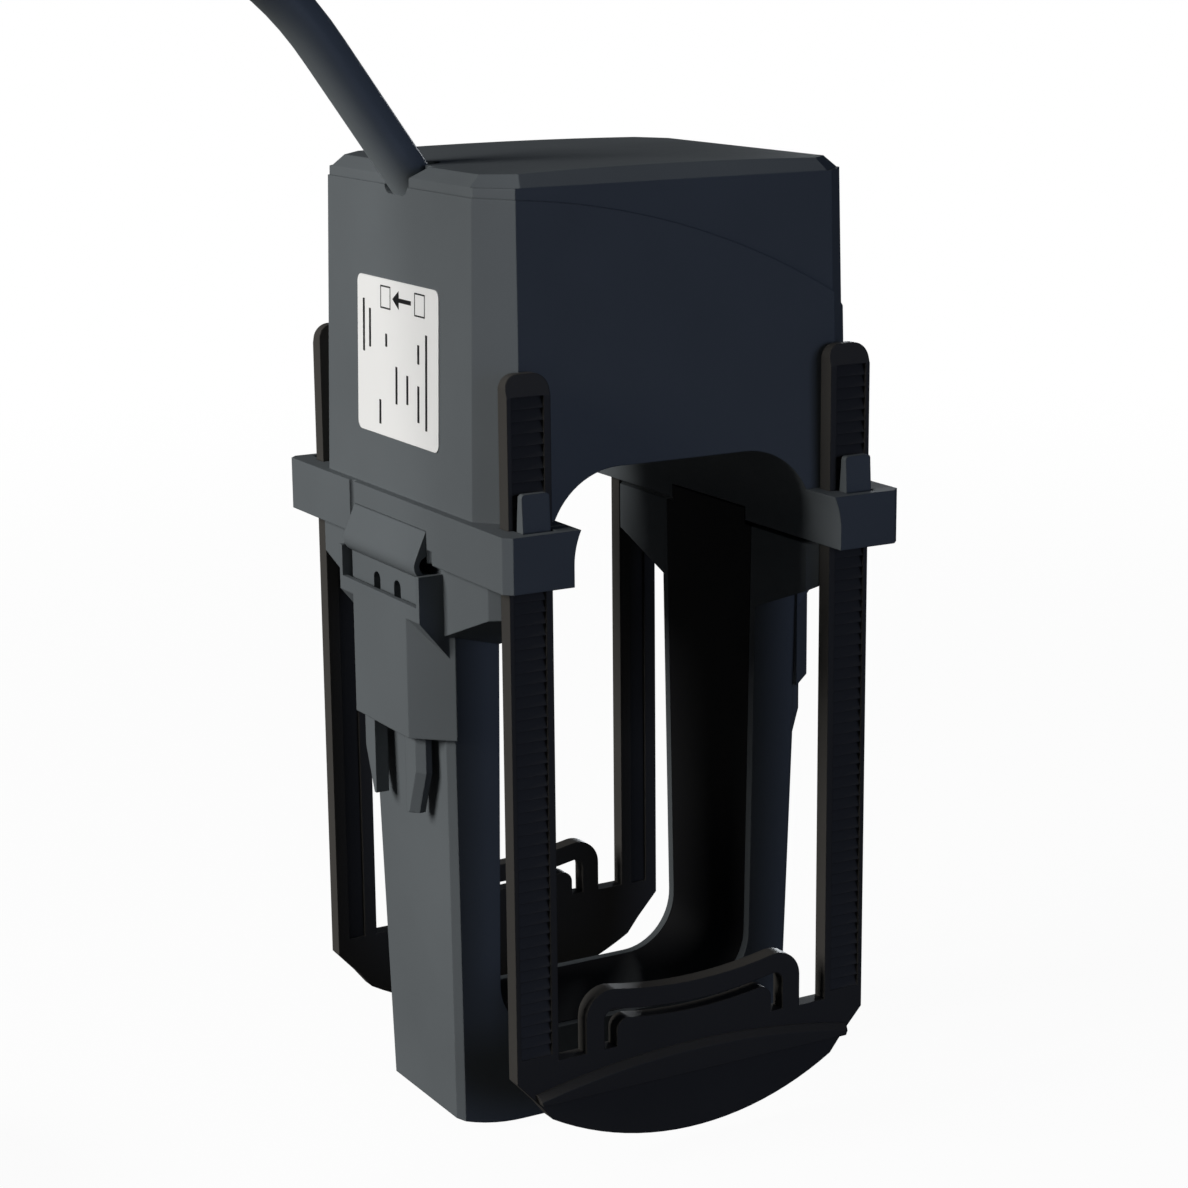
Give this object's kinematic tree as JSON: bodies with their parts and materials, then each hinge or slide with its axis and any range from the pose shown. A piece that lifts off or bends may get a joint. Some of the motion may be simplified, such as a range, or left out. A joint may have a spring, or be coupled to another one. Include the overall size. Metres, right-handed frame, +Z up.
{
  "type": "split-core current transformer",
  "caption": "Clip-on split-core current transformer: grey head with cable, pull-off yoke round a tall window, and black ratchet brackets that clamp the conductor.",
  "frame": {"origin": "on the surface that the yoke stands on, in the middle of the conductor window", "axes": "+Z up through head and yoke, +X across the window away from the cable, +Y along the conductor to the back"},
  "size_m": [0.2008, 0.0875, 0.1723],
  "materials": {
    "housing": "fine spark-eroded grey",
    "liner": "smooth grey",
    "clip": "smooth grey",
    "pawl": "smooth grey",
    "bracket": "satin black, glass filled",
    "label": "printed film",
    "core_strip": "layered strip, ground ends",
    "bobbin": "natural",
    "winding_wire": "enamelled copper",
    "spring_steel": "satin",
    "clamp": "satin",
    "tinned_pin": "tinned",
    "wire_brown": "smooth",
    "wire_blue": "smooth",
    "ferrule": "tinned tube with a grey collar",
    "sheath": "satin extruded sheath",
    "tie": "satin nylon"
  },
  "bodies": {
    "head": {"head_shell": "housing", "head_cover": "housing", "latch_clip_left": "clip", "latch_clip_right": "clip", "rating_label": "label", "upper_core": "core_strip", "bobbin": "bobbin", "winding": "winding_wire", "core_spring": "spring_steel", "cable_clamp": "clamp", "terminal_pins": "tinned_pin", "lead_brown": "wire_brown", "lead_blue": "wire_blue", "cable_sheath": "sheath", "cable_coil": "sheath", "cable_tail": "sheath", "cable_tie": "tie", "core_brown": "wire_brown", "core_blue": "wire_blue", "ferrule_brown": "ferrule", "ferrule_blue": "ferrule"},
    "yoke": {"yoke_housing": "housing", "yoke_liner": "liner", "yoke_core": "core_strip"},
    "front_bracket": {"front_bracket": "bracket"},
    "rear_bracket": {"rear_bracket": "bracket"},
    "pawl_front_left": {"pawl_front_left": "pawl"},
    "pawl_front_right": {"pawl_front_right": "pawl"},
    "pawl_rear_left": {"pawl_rear_left": "pawl"},
    "pawl_rear_right": {"pawl_rear_right": "pawl"}
  },
  "joints": [
    {"name": "yoke_pull", "type": "slide", "parent": "head", "child": "yoke", "axis": [0, 0, -1], "range_m": [0, 0.09]},
    {"name": "front_ratchet", "type": "slide", "parent": "head", "child": "front_bracket", "axis": [0, 0, 1], "range_m": [0, 0.0672]},
    {"name": "rear_ratchet", "type": "slide", "parent": "head", "child": "rear_bracket", "axis": [0, 0, 1], "range_m": [0, 0.0672]},
    {"name": "pawl_front_left_flex", "type": "hinge", "parent": "head", "child": "pawl_front_left", "pos_m": [-0.02535, -0.03121, 0.0857], "axis": [1, 0, 0], "range_deg": [0, 7], "stiffness_Nm_per_rad": 0.005, "springref_deg": -5.73},
    {"name": "pawl_front_right_flex", "type": "hinge", "parent": "head", "child": "pawl_front_right", "pos_m": [0.02535, -0.03121, 0.0857], "axis": [1, 0, 0], "range_deg": [0, 7], "stiffness_Nm_per_rad": 0.005, "springref_deg": -5.73},
    {"name": "pawl_rear_left_flex", "type": "hinge", "parent": "head", "child": "pawl_rear_left", "pos_m": [-0.02535, 0.03121, 0.0857], "axis": [-1, 0, 0], "range_deg": [0, 7], "stiffness_Nm_per_rad": 0.005, "springref_deg": -5.73},
    {"name": "pawl_rear_right_flex", "type": "hinge", "parent": "head", "child": "pawl_rear_right", "pos_m": [0.02535, 0.03121, 0.0857], "axis": [-1, 0, 0], "range_deg": [0, 7], "stiffness_Nm_per_rad": 0.005, "springref_deg": -5.73}
  ]
}
